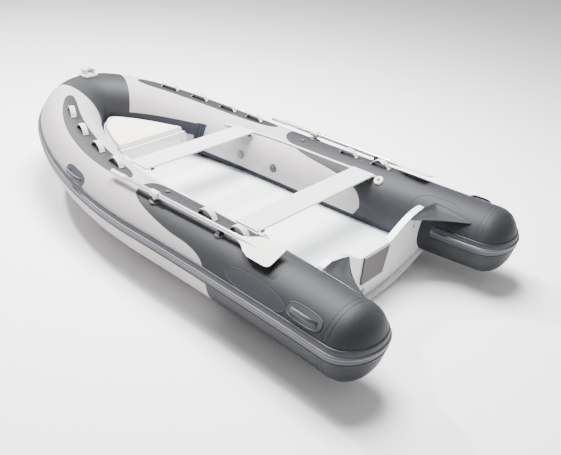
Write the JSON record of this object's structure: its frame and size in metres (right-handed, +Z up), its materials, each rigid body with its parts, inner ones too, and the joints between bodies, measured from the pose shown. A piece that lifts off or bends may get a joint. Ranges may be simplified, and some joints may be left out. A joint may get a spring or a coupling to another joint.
{
  "type": "rigid inflatable dinghy",
  "caption": "Rigid-hull inflatable tender with side tubes, bow locker seat, sliding benches, oars in locks, grab loops, carry handles and a raked transom.",
  "frame": {"origin": "middle of the boat at the height of the keel guard's flat bottom", "axes": "+X to port, +Y to the stern along the boat, +Z up"},
  "size_m": [1.832, 3.458, 0.7234],
  "materials": {
    "light_tube_fabric": "matte coated",
    "dark_tube_fabric": "matte coated",
    "strake_rubber": "matte",
    "white_gelcoat": "gelcoat",
    "grey_plastic": "moulded",
    "black_plastic": "moulded",
    "light_plastic": "moulded",
    "cream_plastic": "moulded",
    "motor_pad_rubber": "matte",
    "cushion_vinyl": "soft vinyl",
    "bench_paint": "satin",
    "webbing": "woven",
    "anodised_alloy": "anodised",
    "stainless_steel": "polished"
  },
  "bodies": {
    "boat": {"bow_fairlead": "light_plastic", "carry_handle_port_bow": "grey_plastic", "carry_handle_port_stern": "grey_plastic", "carry_handle_starboard_bow": "grey_plastic", "carry_handle_starboard_stern": "grey_plastic", "deck_floor": "white_gelcoat", "grab_loop_port_1": "webbing", "grab_loop_port_2": "webbing", "grab_loop_port_3": "webbing", "grab_loop_port_4": "webbing", "grab_loop_port_5": "webbing", "grab_loop_port_6": "webbing", "grab_loop_starboard_1": "webbing", "grab_loop_starboard_2": "webbing", "grab_loop_starboard_3": "webbing", "grab_loop_starboard_4": "webbing", "grab_loop_starboard_5": "webbing", "grab_loop_starboard_6": "webbing", "hull_shell": "white_gelcoat", "keel_guard": "grey_plastic", "locker_bulkhead": "white_gelcoat", "locker_frame": "dark_tube_fabric", "motor_pad": "motor_pad_rubber", "oar_clip_port": "black_plastic", "oar_clip_starboard": "black_plastic", "oarlock_base_port": "black_plastic", "oarlock_base_starboard": "black_plastic", "rail_end_port": "cream_plastic", "rail_end_starboard": "cream_plastic", "relief_valve": "grey_plastic", "rub_strake": "strake_rubber", "seat_rail_port": "light_plastic", "seat_rail_starboard": "light_plastic", "transom": "white_gelcoat", "transom_gusset_port": "dark_tube_fabric", "transom_gusset_starboard": "dark_tube_fabric", "tube_port": "light_tube_fabric", "tube_starboard": "light_tube_fabric", "valve_body_port": "grey_plastic", "valve_body_starboard": "grey_plastic"},
    "locker_top": {"locker_lid": "white_gelcoat", "locker_cushion": "cushion_vinyl"},
    "latch_port": {"locker_latch_port": "stainless_steel"},
    "latch_starboard": {"locker_latch_starboard": "stainless_steel"},
    "front_bench": {"bench_front": "bench_paint"},
    "rear_bench": {"bench_rear": "bench_paint"},
    "front_pin": {"bench_pin_front": "black_plastic"},
    "rear_pin": {"bench_pin_rear": "black_plastic"},
    "port_oar": {"oar_shaft_port": "anodised_alloy", "oar_grip_port": "grey_plastic", "oar_collar_port": "light_plastic", "oar_blade_port": "light_plastic"},
    "starboard_oar": {"oar_shaft_starboard": "anodised_alloy", "oar_grip_starboard": "grey_plastic", "oar_collar_starboard": "light_plastic", "oar_blade_starboard": "light_plastic"},
    "roller": {"bow_roller": "grey_plastic"},
    "port_valve_cap": {"valve_cap_port": "light_plastic"},
    "starboard_valve_cap": {"valve_cap_starboard": "light_plastic"},
    "plug": {"drain_plug": "stainless_steel"}
  },
  "joints": [
    {"name": "locker_lid_hinge", "type": "hinge", "parent": "boat", "child": "locker_top", "pos_m": [0, -1.25, 0.421], "axis": [1, 0, 0], "range_deg": [0, 55]},
    {"name": "latch_port_turn", "type": "hinge", "parent": "boat", "child": "latch_port", "pos_m": [0.265, -0.747, 0.312], "axis": [0, 1, 0], "range_deg": [0, 90]},
    {"name": "latch_starboard_turn", "type": "hinge", "parent": "boat", "child": "latch_starboard", "pos_m": [-0.265, -0.747, 0.312], "axis": [0, 1, 0], "range_deg": [-90, 0]},
    {"name": "front_bench_slide", "type": "slide", "parent": "boat", "child": "front_bench", "axis": [0, 1, 0], "range_m": [0, 0.3]},
    {"name": "rear_bench_slide", "type": "slide", "parent": "boat", "child": "rear_bench", "axis": [0, 1, 0], "range_m": [-0.35, 0]},
    {"name": "front_pin_lift", "type": "slide", "parent": "front_bench", "child": "front_pin", "axis": [0, 0, 1], "range_m": [0, 0.01], "stiffness_N_per_m": 150, "springref_m": -0.004},
    {"name": "rear_pin_lift", "type": "slide", "parent": "rear_bench", "child": "rear_pin", "axis": [0, 0, 1], "range_m": [0, 0.01], "stiffness_N_per_m": 150, "springref_m": -0.004},
    {"name": "port_oar_swing", "type": "hinge", "parent": "boat", "child": "port_oar", "pos_m": [0.716, 0.16, 0.527], "axis": [0, 0, 1], "range_deg": [-100, 0]},
    {"name": "starboard_oar_swing", "type": "hinge", "parent": "boat", "child": "starboard_oar", "pos_m": [-0.716, 0.16, 0.527], "axis": [0, 0, 1], "range_deg": [0, 100]},
    {"name": "bow_roller_spin", "type": "hinge", "parent": "boat", "child": "roller", "pos_m": [0, -1.502, 0.70693], "axis": [1, 0, 0], "continuous": true},
    {"name": "port_valve_cap_turn", "type": "hinge", "parent": "boat", "child": "port_valve_cap", "pos_m": [0.39799, -0.26194, 0.31456], "axis": [-0.9909, 0.1025, 0.087], "range_deg": [0, 90]},
    {"name": "starboard_valve_cap_turn", "type": "hinge", "parent": "boat", "child": "starboard_valve_cap", "pos_m": [-0.39799, -0.26194, 0.31456], "axis": [0.9909, 0.1025, 0.087], "range_deg": [0, 90]},
    {"name": "drain_plug_turn", "type": "hinge", "parent": "boat", "child": "plug", "pos_m": [0.055, 1.19217, 0.076], "axis": [0, 0.9962, -0.0872], "range_deg": [0, 360]}
  ]
}
